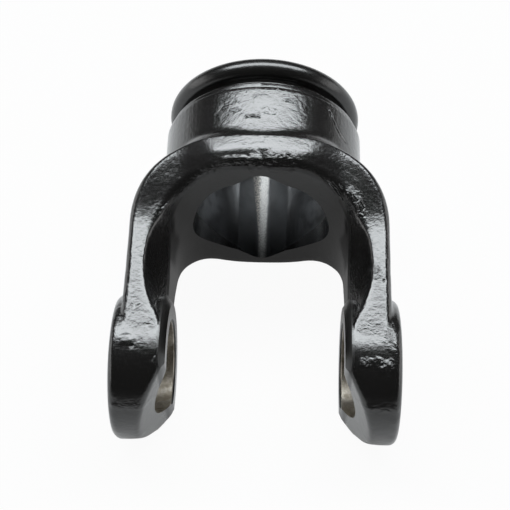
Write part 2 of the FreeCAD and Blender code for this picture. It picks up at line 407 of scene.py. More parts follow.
def copy_of_solid():
    """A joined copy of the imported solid, with its hard edges marked."""
    bm = bmesh.new()
    bm.from_mesh(frame["nodes"]["forged_yoke"].data)
    bmesh.ops.remove_doubles(bm, verts=bm.verts, dist=JOINED)
    for edge in bm.edges:
        edge.smooth = not (len(edge.link_faces) == 2 and edge.calc_face_angle(0) > SHARP)
    for face in bm.faces:
        face.smooth = True
    return bm


def places(bm):
    """The mesh's points as an array, in metres."""
    return np.array([v.co for v in bm.verts])


def count_up(bm):
    """Numbers the mesh's points again."""
    for i, v in enumerate(bm.verts):
        v.index = i


bm = copy_of_solid()
print("solid:", len(bm.faces), "triangles")

# %% [markdown]
# The photograph's marks are placed by where they show: a pixel gives a ray from the camera,
# and the ray gives the point of steel. From there on a mark belongs to the steel, and it
# stays put from every side. Each kind of mark has one profile: a lump is a soft dome, a
# groove is a dip with a raised lip on each side, a rough patch only turns up the grain.

# %% Marks, by the pixels where they show
# a lump: pixel, length, width and height in millimetres, turn in degrees, squareness
LUMPS = (
    ((255.5, 163.0), 5.6, 6.4, 0.40, 0, 0.1),
    ((281.5, 167.5), 8.4, 4.0, 0.34, 2, 0.5),
    ((282.0, 157.0), 12.0, 4.6, 0.16, 4, 0.3),
    ((125.5, 339.0), 5.6, 4.6, 0.24, 0, 0.1),
    ((352.0, 199.0), 8.5, 5.4, 0.24, -55, 0.3),
    ((262.0, 99.0), 9.0, 5.0, 0.06, 10, 0.2),
    ((141.0, 325.0), 7.0, 9.0, 0.04, 0, 0.4),
)
# a groove: pixels along it, width and depth in millimetres; a negative depth is a ridge
GROOVES = (
    (((246.5, 116.8), (251, 117.4), (255, 116.6), (260, 117.6)), 0.40, 0.30),
    (((258, 114.5), (262, 112), (267, 113.2), (271, 114.6), (276, 113.8)), 0.24, 0.10),
    (((262, 109), (265.5, 106.6), (269.5, 109), (275, 110.5)), 0.24, 0.10),
    (((253.5, 103), (252.6, 99.5), (255, 96.5), (259.5, 94.5), (264.5, 93.2)), 0.22, 0.06),
    (((277.5, 89.5), (280, 96), (284, 100.5)), 0.22, 0.06),
    (((286, 101.4), (290, 102.8), (294, 102.4)), 0.36, 0.15),
    (((231, 110.5), (236, 111.3), (240, 110.8)), 0.40, 0.16),
    (((238, 118), (239, 114.5), (243, 113)), 0.25, 0.09),
    (((246, 92), (248, 86), (245, 83)), 0.30, 0.12),
    (((215.6, 115.6), (219, 110), (223, 105)), 0.30, -0.10),
    (((330, 110), (334, 122), (339, 133), (346, 143)), 0.60, -0.16),
    (((339, 185), (345, 190), (350, 192.5), (354, 199), (357, 205), (358, 213)), 0.34, -0.30),
    (((355, 203), (361, 201), (365, 208), (363, 216), (357, 214)), 0.40, -0.22),
    (((329, 183), (334, 189), (340, 198)), 0.30, -0.22),
    (((333, 182), (339, 190), (343, 200)), 0.30, 0.20),
    (((160, 213), (163, 208), (168, 202)), 0.34, -0.24),
    (((243, 141), (251, 144), (258, 141), (266, 143)), 0.24, 0.05),
    (((237, 145), (245, 143.5), (249, 145.5)), 0.22, 0.04),
    (((132, 304), (137, 306), (140, 305)), 0.30, 0.08),
    (((152.5, 361), (155, 357)), 0.34, -0.25),
)
# a rough patch: pixel, length and width in millimetres, turn, grain height
PATCHES = (
    ((233, 108), 5.0, 15.0, 0, 0.12),
    ((300, 108), 6.0, 16.0, 0, 0.11),
    ((266, 125), 22.0, 5.0, 0, 0.03),
    ((328, 153), 10.0, 6.0, -30, 0.03),
    ((282, 157), 12.5, 4.6, 3, 0.36),
    ((255, 162), 6.0, 6.5, 0, 0.20),
    ((281.5, 167.5), 8.5, 3.6, 0, 0.16),
    ((240, 160), 10.0, 2.6, 0, 0.26),
    ((216, 167), 16.0, 2.6, 22, 0.34),
    ((192, 182), 9.0, 2.6, 48, 0.34),
    ((352, 200), 10.0, 6.0, -55, 0.15),
    ((333, 187), 9.0, 4.0, -50, 0.20),
    ((159, 208), 7.0, 4.0, 40, 0.09),
    ((120, 310), 3.8, 9.0, 0, 0.18),
    ((118, 322), 4.4, 5.0, 0, 0.06),
    ((146, 349), 12.0, 5.0, 0, 0.07),
    ((150, 322), 5.0, 5.0, 0, 0.05),
    ((131, 407), 13.0, 2.4, 0, 0.16),
    ((391, 337), 4.4, 9.0, 0, 0.26),
    ((387, 367), 5.5, 4.6, 0, 0.42),
    ((366, 363), 4.0, 3.0, 0, 0.34),
    ((377, 361), 6.0, 2.0, 0, 0.20),
    ((379, 409), 14.0, 2.8, 0, 0.16),
    ((376, 270), 3.6, 5.4, 0, 0.26),
    ((372, 325), 9.0, 8.0, 0, 0.06),
)
# a pit: pixel, width and depth in millimetres
PITS = (
    ((131.0, 345.6), 0.7, 0.45),
    ((157.0, 401.5), 0.5, 0.35),
    ((384.0, 281.0), 0.6, 0.4),
    ((254.4, 121.4), 0.4, 0.25),
    ((283.0, 122.4), 0.4, 0.25),
    ((269.5, 140.5), 0.4, 0.2),
    ((148.0, 324.5), 0.5, 0.25),
    ((349.0, 123.0), 0.5, 0.3),
)


# %% Where a mark acts on the steel
FAR_AWAY = 2.5
SHAKE = 0.09
SHAKE_WAVES = ((3.1, 1.3), (3.7, 1.7), (2.9, 1.1))
SHAKE_ALL = 2.3
# where an oval's edge starts, as a share of its size, and how much later a square one's does
OVAL_EDGE = (0.2, 0.45)
SQUARE_POWER = 4


def plane_axes(normal, turn):
    """Two directions along the surface, the first turned from the picture's right."""
    right = camera.matrix_world.to_3x3() @ Vector((1, 0, 0))
    across = (right - normal * right.dot(normal)).normalized()
    along = normal.cross(across)
    c, s = math.cos(math.radians(turn)), math.sin(math.radians(turn))
    return across * c + along * s, along * c - across * s


def struck(tree, pixel):
    """The point of steel behind a pixel, and its normal."""
    origin, direction = ray_through(*pixel)
    place, normal, _, _ = tree.ray_cast(origin, direction)
    return place, normal


def shaken(points):
    """Points moved about a little, so that no mark has a ruled outline."""
    place = points / MM
    moved = points.copy()
    for axis, (fast, slow) in enumerate(SHAKE_WAVES):
        wave = np.sin(place[:, (axis + 1) % 3] * fast + slow)
        wave = wave + np.sin(place[:, (axis + 2) % 3] * slow + fast)
        moved[:, axis] += SHAKE * MM * (wave + np.sin(place.sum(axis=1) * SHAKE_ALL + axis))
    return moved


def close_to(points, place, reach):
    """Indices of the points within a reach of a place, both in metres."""
    return np.nonzero(np.abs(points - np.array(place)).max(axis=1) < reach)[0]


def oval_of(points, place, axes, length, width, square=0.0):
    """1 in the middle of an oval or rounded rectangle on the surface, 0 outside it."""
    inside = np.zeros(len(points))
    reach = max(length, width) * MM
    near = close_to(points, place, reach)
    offset = points[near] - np.array(place)
    u = offset @ np.array(axes[0]) / (length / 2 * MM)
    v = offset @ np.array(axes[1]) / (width / 2 * MM)
    power = 2 + SQUARE_POWER * square
    far = (np.abs(u) ** power + np.abs(v) ** power) ** (1 / power)
    edge = OVAL_EDGE[0] + OVAL_EDGE[1] * square
    inside[near] = (1 - soft_step(edge, 1.0, far)) * (np.linalg.norm(offset, axis=1) < reach)
    return inside


def away_from_line(points, line):
    """Distance in millimetres from points to a line through several places, up to FAR_AWAY."""
    nearest = np.full(len(points), FAR_AWAY)
    for start, end in zip(line[:-1], line[1:]):
        a, b = np.array(start), np.array(end)
        near = close_to(points, (a + b) / 2, np.linalg.norm(b - a) / 2 + FAR_AWAY * MM)
        some = points[near]
        share = np.clip((some - a) @ (b - a) / max((b - a) @ (b - a), JOINED ** 2), 0, 1)
        gap = np.linalg.norm(some - a - share[:, None] * (b - a), axis=1) / MM
        nearest[near] = np.minimum(nearest[near], gap)
    return nearest


surface = BVHTree.FromBMesh(bm)
lumps = [(*struck(surface, pixel), *rest) for pixel, *rest in LUMPS]
patches = [(*struck(surface, pixel), *rest) for pixel, *rest in PATCHES]
grooves = [([struck(surface, pixel)[0] for pixel in line], *rest) for line, *rest in GROOVES]
pits = [(struck(surface, pixel)[0], *rest) for pixel, *rest in PITS]
print("marks:", len(lumps), "lumps,", len(patches), "patches,", len(grooves), "grooves,", len(pits), "pits")

# %% Height and grain of the marks
LIP_SHARE = 0.25
LIP_AT = 2.0
PATCH_SPREAD = 1.3
PIT_REACH = 3


def mark_height(points):
    """How far the marks push the surface out, in metres."""
    points = shaken(points)
    height = np.zeros(len(points))
    for place, normal, length, width, tall, turn, square in lumps:
        axes = plane_axes(normal, turn)
        height += tall * MM * oval_of(points, place, axes, length, width, square)
    for line, width, depth in grooves:
        far = away_from_line(points, line) / (width / 2)
        height -= depth * MM * (np.exp(-far ** 2) - LIP_SHARE * np.exp(-(far - LIP_AT) ** 2))
    for place, size, depth in pits:
        near = close_to(points, place, PIT_REACH * size * MM)
        far = np.linalg.norm(points[near] - np.array(place), axis=1) / (size / 2 * MM)
        height[near] -= depth * MM * np.exp(-far ** 2)
    return height


def mark_grain(points):
    """How strong the rough grain of the patches is, in metres."""
    points = shaken(points)
    grain = np.zeros(len(points))
    for place, normal, length, width, turn, tall in patches:
        axes = plane_axes(normal, turn)
        oval = oval_of(points, place, axes, length * PATCH_SPREAD, width * PATCH_SPREAD)
        grain = np.maximum(grain, tall * MM * oval)
    return grain


# %% [markdown]
# Marks need small triangles and plain skin doesn't, so each point gets its own longest edge:
# finest by the grooves, fine on lumps and patches, wider on plain skin, wider still on the
# underside, and so wide on the turned faces that they stay as they are. Splitting only what
# is too long keeps the triangles close to even. Every pass halves the long edges, and the
# pieces are made triangles again, so nothing has more than three corners when its corners
# start to move.

# %% How long an edge may be
SKIN_EDGE = 1.35
UNDER_EDGE = 3.0
TURNED_EDGE = 50.0
FINE_EDGE = 0.52
LINE_EDGE = 0.25
UPPER_FROM = -4.0
BARE_SKIN = 0.02
GRAIN_LEAST = 0.05
HEIGHT_LEAST = 0.04
LINE_REACH = 1.4


def edge_limit(points):
    """The longest edge allowed at points of the frame, in metres."""
    own = own_axes(points)
    on_skin = skin_of(own) > BARE_SKIN
    limit = np.where(on_skin, np.where(own[:, 2] > UPPER_FROM, SKIN_EDGE, UNDER_EDGE), TURNED_EDGE)
    marked = mark_grain(points) > GRAIN_LEAST * MM
    marked |= np.abs(mark_height(points)) > HEIGHT_LEAST * MM
    limit = np.where(marked & on_skin, FINE_EDGE, limit)
    near_line = np.full(len(points), FAR_AWAY)
    moved = shaken(points)
    for line, width, _ in grooves:
        near_line = np.minimum(near_line, away_from_line(moved, line) / width)
    return np.where((near_line < LINE_REACH) & on_skin, LINE_EDGE, limit) * MM


# %% Split the long triangles
PASSES = 10


def split_long_edges(bm):
    """Halves the edges that are too long, until none is or the passes are used up."""
    for _ in range(PASSES):
        points = places(bm)
        count_up(bm)
        limit = edge_limit(points)
        edges = list(bm.edges)
        ends = np.array([(e.verts[0].index, e.verts[1].index) for e in edges])
        length = np.linalg.norm(points[ends[:, 0]] - points[ends[:, 1]], axis=1)
        allowed = np.minimum(limit[ends[:, 0]], limit[ends[:, 1]])
        long_ones = [edges[i] for i in np.nonzero(length > allowed)[0]]
        if not long_ones:
            break
        bmesh.ops.subdivide_edges(bm, edges=long_ones, cuts=1)
        bmesh.ops.triangulate(bm, faces=[f for f in bm.faces if len(f.verts) > 3])


split_long_edges(bm)
print("after splitting:", len(bm.faces), "triangles")

# %% [markdown]
# A split edge's middle lies on the chord, a little inside the true round, and gloss paint
# shows such flats at once. So the points on the hub's side and on the ears' rims go back out
# onto their circles. The hollows where the ears stand out of the arms are rounded, because no
# forging die has a sharp inner corner, and the rest of the skin is evened very slightly.

# %% Round the hub and the ears again
HUB_SIDE = (62.0, 79.3)
HUB_LEAST = 30.0
EAR_OUTSIDE = 27.0
EAR_LEAST = 20.0
CHORD_DEPTH = 0.06
OUTERMOST = 99


def round_again(bm):
    """Brings the split points of the hub's side and the ears' rims back onto their circles."""
    own = own_axes(places(bm))
    x, y, z = own.T
    hub_r, ear_r = np.hypot(x, z), np.hypot(y, z)
    side = (y > HUB_SIDE[0]) & (y < HUB_SIDE[1]) & (hub_r > HUB_LEAST)
    rim = (np.abs(x) > EAR_OUTSIDE) & (ear_r > EAR_LEAST)
    true_hub = np.percentile(hub_r[side], OUTERMOST)
    true_ear = np.percentile(ear_r[rim & (y < 0)], OUTERMOST)
    near_hub = side & (np.abs(hub_r - true_hub) < CHORD_DEPTH)
    near_rim = rim & (np.abs(ear_r - true_ear) < CHORD_DEPTH)
    for near, radius, true_radius, axes in ((near_hub, hub_r, true_hub, (0, 2)),
                                            (near_rim, ear_r, true_ear, (1, 2))):
        for axis in axes:
            own[near, axis] *= true_radius / radius[near]
    back = own * MM @ np.array(TO_TABLE.to_3x3()).T
    for v, place in zip(bm.verts, back):
        v.co = place
    print("hub radius", round(true_hub, 3), "ear radius", round(true_ear, 3))


round_again(bm)

# %% Soften the hollows and even the skin
HOLLOW_ANGLE = math.radians(6)
HOLLOW_UP_TO = 24.0
HOLLOW_FROM = 30.5
HOLLOW_SKIN = 0.3
HOLLOW_REACH = 2.4
HOLLOW_PASSES = 10
HOLLOW_SHARE = 0.5
EVEN_SKIN = 0.5
EVEN_PASSES = 2
EVEN_SHARE = 0.4


def smooth(bm, points, share, passes):
    """Moves points a share of the way to the middle of their neighbours, again and again."""
    for _ in range(passes):
        bmesh.ops.smooth_vert(bm, verts=points, factor=share,
                              use_axis_x=True, use_axis_y=True, use_axis_z=True)


def in_hollow(own, skin):
    """Whether points lie by the outer hollows of the ears, on skin."""
    by_ear = (own[:, 1] < HOLLOW_UP_TO) & (np.abs(own[:, 0]) > HOLLOW_FROM)
    return by_ear & (skin > HOLLOW_SKIN)


def soften_hollows(bm):
    """Rounds the sharp hollows where the ears stand out of the arms, as forging dies do."""
    own = own_axes(places(bm))
    skin = skin_of(own)
    allowed = in_hollow(own, skin)
    count_up(bm)
    seeds = [v.co.copy() for e in bm.edges if len(e.link_faces) == 2 and not e.is_convex
             and e.calc_face_angle(0) > HOLLOW_ANGLE for v in e.verts if allowed[v.index]]
    hollows = KDTree(len(seeds))
    for i, place in enumerate(seeds):
        hollows.insert(place, i)
    hollows.balance()
    near = {v for v, s in zip(bm.verts, skin)
            if s > HOLLOW_SKIN and hollows.find(v.co)[2] < HOLLOW_REACH * MM}
    for e in bm.edges:
        if e.verts[0] in near and e.verts[1] in near:
            e.smooth = True
    smooth(bm, list(near), HOLLOW_SHARE, HOLLOW_PASSES)
    print("hollow points softened:", len(near))


def even_skin(bm):
    """Evens the skin's points a little, away from the hard edges."""
    skin = skin_of(own_axes(places(bm)))
    free = [v for v, s in zip(bm.verts, skin) if s > EVEN_SKIN and all(e.smooth for e in v.link_edges)]
    smooth(bm, free, EVEN_SHARE, EVEN_PASSES)


soften_hollows(bm)
even_skin(bm)
print("skin mesh:", len(bm.faces), "triangles")

# %% [markdown]
# The marks are carved into the points themselves, along the normals, so they are there from
# every side and in the mesh itself. Three masks stay on the points for the next steps: how
# raw the skin is, how rough the marks make it, and where the trimming press cut it smooth.

# %% Carve the marks and keep the masks
# the share of the skin's roughness that trimming took away
TRIM_SMOOTH = 0.9
# marks have their full height from where the skin is half raw
MARK_FADE = 2
skin_mesh = bpy.data.meshes.new("forged_skin")
bm.normal_update()
points = places(bm)
normals = np.array([v.normal for v in bm.verts])
own = own_axes(points)
skin = skin_of(own)
trimmed = trimmed_wall(own)
carved = mark_height(points) * np.minimum(1, MARK_FADE * skin)
grain = mark_grain(points) * skin
for v, place in zip(bm.verts, points + normals * carved[:, None]):
    v.co = place
bm.to_mesh(skin_mesh)
bm.free()


def keep_attribute(mesh, name, values):
    """Writes one number for each point of a mesh."""
    attribute = mesh.attributes.new(name, "FLOAT", "POINT")
    attribute.data.foreach_set("value", values.astype(np.float32))


keep_attribute(skin_mesh, "skin", skin * (1 - TRIM_SMOOTH * trimmed))
keep_attribute(skin_mesh, "rough", grain / MM)
keep_attribute(skin_mesh, "trimmed", trimmed)
yoke = bpy.data.objects.new("forged_skin", skin_mesh)
bpy.context.scene.collection.objects.link(yoke)

# %% [markdown]
# A forging swells and dips over many millimetres, shows the hammer over a few, and feels
# grainy close up. That is a rule for every point and not a shape of its own, so it is a
# Geometry Nodes group: it pushes each point along its normal by three noises, held back by
# the skin mask, and adds the patches' grain where the marks ask for it.

# %% Geometry Nodes: the forged skin
SKIN_SEED = 11.0
# each noise: name, height and size in millimetres, detail
SKIN_NOISES = (("Swell", 0.07, 16.0, 1.0), ("Hammer", 0.025, 3.6, 2.0), ("Grain", 1.0, 1.2, 2.0))


def noise_height(tree, position, size, seed, detail):
    """Noise from -1 to 1 with humps of a given size in millimetres."""
    per_metre = calculate(tree, "DIVIDE", 1 / MM, size)
    noise = tree.nodes.new("ShaderNodeTexNoise")
    noise.noise_dimensions = "4D"
    noise.inputs["Scale"].default_value = 1.0
    noise.inputs["Detail"].default_value = detail
    tree.links.new(scaled(tree, position, per_metre), noise.inputs["Vector"])
    tree.links.new(seed, noise.inputs["W"])
    centred = calculate(tree, "SUBTRACT", noise.outputs[0], 0.5)
    return calculate(tree, "MULTIPLY", centred, 2.0)


def add_input(tree, name, kind, value=None):
    """An input of a node group, with its default."""
    socket = tree.interface.new_socket(name=name, in_out="INPUT", socket_type=kind)
    if value is not None:
        socket.default_value = value


def stored(tree, name):
    """A mask of the mesh, read in Geometry Nodes."""
    node = tree.nodes.new("GeometryNodeInputNamedAttribute")
    node.data_type = "FLOAT"
    node.inputs["Name"].default_value = name
    return node.outputs["Attribute"]


def forged_skin_group():
    """Points pushed along their normals by swell, hammer marks and grain."""
    tree = bpy.data.node_groups.new("forged_skin", "GeometryNodeTree")
    add_input(tree, "Geometry", "NodeSocketGeometry")
    add_input(tree, "Seed", "NodeSocketFloat", SKIN_SEED)
    for name, height, size, _ in SKIN_NOISES:
        add_input(tree, name + " Height", "NodeSocketFloat", height)
        add_input(tree, name + " Size", "NodeSocketFloat", size)
    add_input(tree, "Paint", "NodeSocketMaterial")
    tree.interface.new_socket(name="Geometry", in_out="OUTPUT", socket_type="NodeSocketGeometry")
    given = tree.nodes.new("NodeGroupInput").outputs
    position = tree.nodes.new("GeometryNodeInputPosition").outputs[0]
    normal = tree.nodes.new("GeometryNodeInputNormal").outputs[0]
    made = {}
    for name, _, _, detail in SKIN_NOISES:
        wave = noise_height(tree, position, given[name + " Size"], given["Seed"], detail)
        made[name] = calculate(tree, "MULTIPLY", wave, given[name + " Height"])
    grain = calculate(tree, "MULTIPLY", made["Grain"], stored(tree, "rough"))
    height = calculate(tree, "ADD", made["Swell"], made["Hammer"])
    height = calculate(tree, "MULTIPLY", height, stored(tree, "skin"))
    height = calculate(tree, "ADD", height, grain)
    height = calculate(tree, "MULTIPLY", height, MM)
    place = tree.nodes.new("GeometryNodeSetPosition")
    tree.links.new(given["Geometry"], place.inputs["Geometry"])
    tree.links.new(scaled(tree, normal, height), place.inputs["Offset"])
    realize = tree.nodes.new("GeometryNodeRealizeInstances")
    tree.links.new(place.outputs[0], realize.inputs[0])
    paint = tree.nodes.new("GeometryNodeSetMaterial")
    tree.links.new(realize.outputs[0], paint.inputs["Geometry"])
    tree.links.new(given["Paint"], paint.inputs["Material"])
    out = tree.nodes.new("NodeGroupOutput")
    tree.links.new(paint.outputs[0], out.inputs[0])
    return tree


def apply_group(obj, tree, **values):
    """Runs a Geometry Nodes group on an object once, and keeps what it made."""
    modifier = obj.modifiers.new(tree.name, "NODES")
    modifier.node_group = tree
    for item in tree.interface.items_tree:
        if item.in_out == "INPUT" and item.name in values:
            modifier[item.identifier] = values[item.name]
    depsgraph = bpy.context.evaluated_depsgraph_get()
    made = bpy.data.meshes.new_from_object(obj.evaluated_get(depsgraph))
    obj.modifiers.remove(modifier)
    obj.data = made


# %% [markdown]
# The shaders share three small steps: reading a mask of the mesh, making noise, and finding
# a point's place along the yoke's own axes.

# %% Small steps of the shaders
def attribute(tree, name):
    """A mask of the mesh, read in a shader."""
    node = tree.nodes.new("ShaderNodeAttribute")
    node.attribute_name = name
    return node.outputs["Fac"]


def noise(tree, where, scale, detail):
    """Noise from 0 to 1 over a place."""
    node = tree.nodes.new("ShaderNodeTexNoise")
    node.inputs["Scale"].default_value = scale
    node.inputs["Detail"].default_value = detail
    tree.links.new(where, node.inputs["Vector"])
    return node.outputs[0]


def own_place(tree):
    """Object coordinates in the yoke's own axes, in millimetres, whole and as x, y and z."""
    turn = tree.nodes.new("ShaderNodeMapping")
    turn.inputs["Rotation"].default_value = (-TILT, 0, 0)
    turn.inputs["Scale"].default_value = (1 / MM, 1 / MM, 1 / MM)
    tree.links.new(tree.nodes.new("ShaderNodeTexCoord").outputs["Object"], turn.inputs["Vector"])
    split = tree.nodes.new("ShaderNodeSeparateXYZ")
    tree.links.new(turn.outputs[0], split.inputs[0])
    return turn.outputs[0], split.outputs


# %% [markdown]
# Gloss black paint is one clear layer over a dark coat: all its light is reflection. The
# coat is thick, so it has its own fine orange peel, stronger where the steel under it is
# raw. The peel goes into the shader as a bump, because it is far too small for the mesh.

# %% Shader group: orange peel
# each noise: size in millimetres, share of the height
PEEL = ((1.3, 0.6), (0.5, 0.35))
PEEL_DETAIL = 3.0


def peel_group():
    """Fine bumps of the paint, from Object coordinates."""
    tree = bpy.data.node_groups.new("orange_peel", "ShaderNodeTree")
    tree.interface.new_socket(name="Height", in_out="INPUT", socket_type="NodeSocketFloat")
    tree.interface.new_socket(name="Normal", in_out="INPUT", socket_type="NodeSocketVector")
    tree.interface.new_socket(name="Normal", in_out="OUTPUT", socket_type="NodeSocketVector")
    given = tree.nodes.new("NodeGroupInput").outputs
    where = tree.nodes.new("ShaderNodeTexCoord").outputs["Object"]
    heights = [calculate(tree, "MULTIPLY", noise(tree, where, 1 / (size * MM), PEEL_DETAIL), share)
               for size, share in PEEL]
    total = calculate(tree, "ADD", *heights)
    bump = tree.nodes.new("ShaderNodeBump")
    bump.inputs["Distance"].default_value = MM
    tree.links.new(calculate(tree, "MULTIPLY", total, given["Height"]), bump.inputs["Height"])
    tree.links.new(given["Normal"], bump.inputs["Normal"])
    out = tree.nodes.new("NodeGroupOutput")
    tree.links.new(bump.outputs[0], out.inputs["Normal"])
    return tree


peel_tree = peel_group()
print("orange peel:", len(peel_tree.nodes), "nodes")

# %% [markdown]
# On the photographed part the shoulders of the arch fall away a few degrees more steeply
# than on the solid, so they mirror the dark room where the solid would mirror the lamp. This
# is a fault of the solid that the shading hides and doesn't mend: the shape stays as it is
# packed, and only the normal that the paint is lit by leans outward there. A mask in the
# yoke's own axes keeps the lean off the hub and off the arms.

# %% Shoulders of the arch
SHOULDER_ACROSS = (12.0, 24.0)
SHOULDER_ALONG = (33.0, 42.0)
SHOULDER_END = (61.0, 63.5)
SHOULDER_ABOVE = (0.0, 10.0)
# outward and along the hub, as shares of the normal's length
SHOULDER_LEAN = (0.17, -0.08)


def shoulder_lean(tree):
    """The surface normal, leaned outward and towards the fork on the arch's shoulders."""
    _, at = own_place(tree)
    across = ramp(tree, calculate(tree, "ABSOLUTE", at["X"]), *SHOULDER_ACROSS)
    along = ramp(tree, at["Y"], *SHOULDER_ALONG)
    before_hub = ramp(tree, at["Y"], *SHOULDER_END, 1.0, 0.0)
    above = ramp(tree, at["Z"], *SHOULDER_ABOVE)
    mask = calculate(tree, "MULTIPLY", calculate(tree, "MULTIPLY", across, along),
                     calculate(tree, "MULTIPLY", before_hub, above))
    outward = calculate(tree, "MULTIPLY", calculate(tree, "SIGN", at["X"]), SHOULDER_LEAN[0])
    lean = tree.nodes.new("ShaderNodeCombineXYZ")
    tree.links.new(outward, lean.inputs["X"])
    lean.inputs["Y"].default_value = SHOULDER_LEAN[1]
    leaned = tree.nodes.new("ShaderNodeVectorMath")
    leaned.operation = "ADD"
    tree.links.new(tree.nodes.new("ShaderNodeNewGeometry").outputs["Normal"], leaned.inputs[0])
    tree.links.new(scaled(tree, lean.outputs[0], mask), leaned.inputs[1])
    unit = tree.nodes.new("ShaderNodeVectorMath")
    unit.operation = "NORMALIZE"
    tree.links.new(leaned.outputs[0], unit.inputs[0])
    return unit.outputs[0]


# %% [markdown]
# The paint doesn't look equally glossy everywhere. The wall inside the U, which a trimming
# press cuts, looks satin, and the turned bead at the hub's end looks a little duller too. So
# both get a rougher base and less of the clear coat. The coat's own roughness is one number
# for all of it, and the masks only change how much coat there is.

# %% Black paint
PAINT_COLOUR = (0.010, 0.0095, 0.009, 1)
PAINT_ROUGHNESS = 0.26
COAT_ROUGHNESS = 0.13
PEEL_SMOOTH = 0.06
PEEL_RAW = 0.13
PEEL_SCARRED = 1.2
TRIMMED_ROUGHNESS = 0.5
TRIMMED_COAT = 0.6
# in millimetres along the hub, where the bead begins
BEAD_FROM = (84.0, 85.0)
BEAD_ROUGHNESS = 0.30
BEAD_COAT = 0.65


def black_paint():
    """Gloss black, satin on the trimmed wall and a little duller on the bead."""
    material = bpy.data.materials.new("black_paint")
    material.use_nodes = True
    tree = material.node_tree
    shader = tree.nodes["Principled BSDF"]
    shader.inputs["Base Color"].default_value = PAINT_COLOUR
    shader.inputs["Coat Roughness"].default_value = COAT_ROUGHNESS
    trimmed = attribute(tree, "trimmed")
    _, at = own_place(tree)
    bead = ramp(tree, at["Y"], *BEAD_FROM)
    rough = blend(tree, bead, PAINT_ROUGHNESS, BEAD_ROUGHNESS, "FLOAT")
    rough = blend(tree, trimmed, rough, TRIMMED_ROUGHNESS, "FLOAT")
    tree.links.new(rough, shader.inputs["Roughness"])
    coat = blend(tree, bead, 1.0, BEAD_COAT, "FLOAT")
    coat = blend(tree, trimmed, coat, TRIMMED_COAT, "FLOAT")
    tree.links.new(coat, shader.inputs["Coat Weight"])
    peel = tree.nodes.new("ShaderNodeGroup")
    peel.node_tree = peel_tree
    raw = ramp(tree, attribute(tree, "skin"), 0.0, 1.0, PEEL_SMOOTH, PEEL_RAW)
    scarred = calculate(tree, "MULTIPLY", attribute(tree, "rough"), PEEL_SCARRED)
    tree.links.new(calculate(tree, "ADD", raw, scarred), peel.inputs["Height"])
    tree.links.new(shoulder_lean(tree), peel.inputs["Normal"])
    tree.links.new(peel.outputs["Normal"], shader.inputs["Normal"])
    tree.links.new(peel.outputs["Normal"], shader.inputs["Coat Normal"])
    return material


paint = black_paint()
print("paint:", len(paint.node_tree.nodes), "nodes")

# %% [markdown]
# The bores are bare steel: they were cut after the painting, or masked for it. Cutting tools
# leave faint streaks along a bore, and the steel has stains. The hub bore's steel is coloured
# darker than the ears'. Along its lobe runs a speckled, lighter band, partly stains and partly
# a painted reflection, and the band narrows towards the fork. Along the lobe's middle runs a
# narrow strip of even grey, which is a painted highlight. At the fork's end of that bore the
# black paint crept in low down at the left and the right, as two crescents. The steel is its
# own material, and all of this is masks on the place along the yoke's own axes.

# %% Colours and masks of the bare steel
STEEL_COLOUR = (0.50, 0.465, 0.41, 1)
STAIN_COLOUR = (0.18, 0.155, 0.12, 1)
# the hub bore's steel, coloured darker than the ears' steel
DARK_HUB_STEEL = (0.10, 0.102, 0.105, 1)
# the lighter band along the lobe: partly stains, partly a painted reflection
BAND_STAIN_AND_SHEEN = (0.30, 0.285, 0.26, 1)
# the even grey of the strip along the lobe, a painted highlight
PAINTED_HIGHLIGHT_STEEL = (0.26, 0.26, 0.255, 1)
STAIN_PER_MM = 0.28
STAIN_DETAIL = 4.0
STAIN_FROM = (0.42, 0.72)
SPECKLE_PER_MM = 2.4
SPECKLE_DETAIL = 2.0
SPECKLE_FROM = (0.38, 0.62)
SPECKLE_STAIN = 0.35
# across the lobe, in millimetres: the band, of stains and painted reflection,
# and the strip of painted highlight
BAND = (-4.2, 1.6)
BAND_EDGE = 0.5
HIGHLIGHT_STRIP = (-1.2, 1.4)
HIGHLIGHT_STRIP_LEAST = 0.55
# the band's width along the hub, from its narrow end to its wide end
TAPER = (51.0, 92.0)
TAPER_LEAST = 0.25
# where the paint stops along the hub, and how it creeps in
PAINT_FROM = 50.6
PAINT_CREEP = 5.0
CREEP_ACROSS = (3.0, 19.0)
CREEP_BELOW = 3.0
CREEP_WAVER = 0.8
CREEP_EDGE = 0.2
EAR_FROM = (25.4, 25.6)


def between(tree, value, low, high, edge):
    """1 between two values with soft edges, as a node."""
    rise = ramp(tree, value, low - edge, low + edge)
    return calculate(tree, "MULTIPLY", rise, ramp(tree, value, high - edge, high + edge, 1.0, 0.0))


def hub_steel(tree, at, across, speckle):
    """Darker steel, a band of stains and painted reflection, and a painted highlight strip."""
    # the band is partly speckled stains and partly a painted reflection
    band = calculate(tree, "MULTIPLY", between(tree, across, *BAND, BAND_EDGE), speckle)
    # the strip along the lobe is a painted highlight
    strip = calculate(tree, "MULTIPLY", between(tree, at["X"], *HIGHLIGHT_STRIP, BAND_EDGE),
                      ramp(tree, speckle, 0.0, 1.0, HIGHLIGHT_STRIP_LEAST, 1.0))
    colour = blend(tree, band, DARK_HUB_STEEL, BAND_STAIN_AND_SHEEN)
    return blend(tree, strip, colour, PAINTED_HIGHLIGHT_STEEL)


def ear_steel(tree, blotch, speckle):
    """Pale steel with stains and specks."""
    colour = blend(tree, ramp(tree, blotch, *STAIN_FROM), STEEL_COLOUR, STAIN_COLOUR)
    specks = calculate(tree, "MULTIPLY", speckle, SPECKLE_STAIN)
    return blend(tree, specks, colour, STAIN_COLOUR)


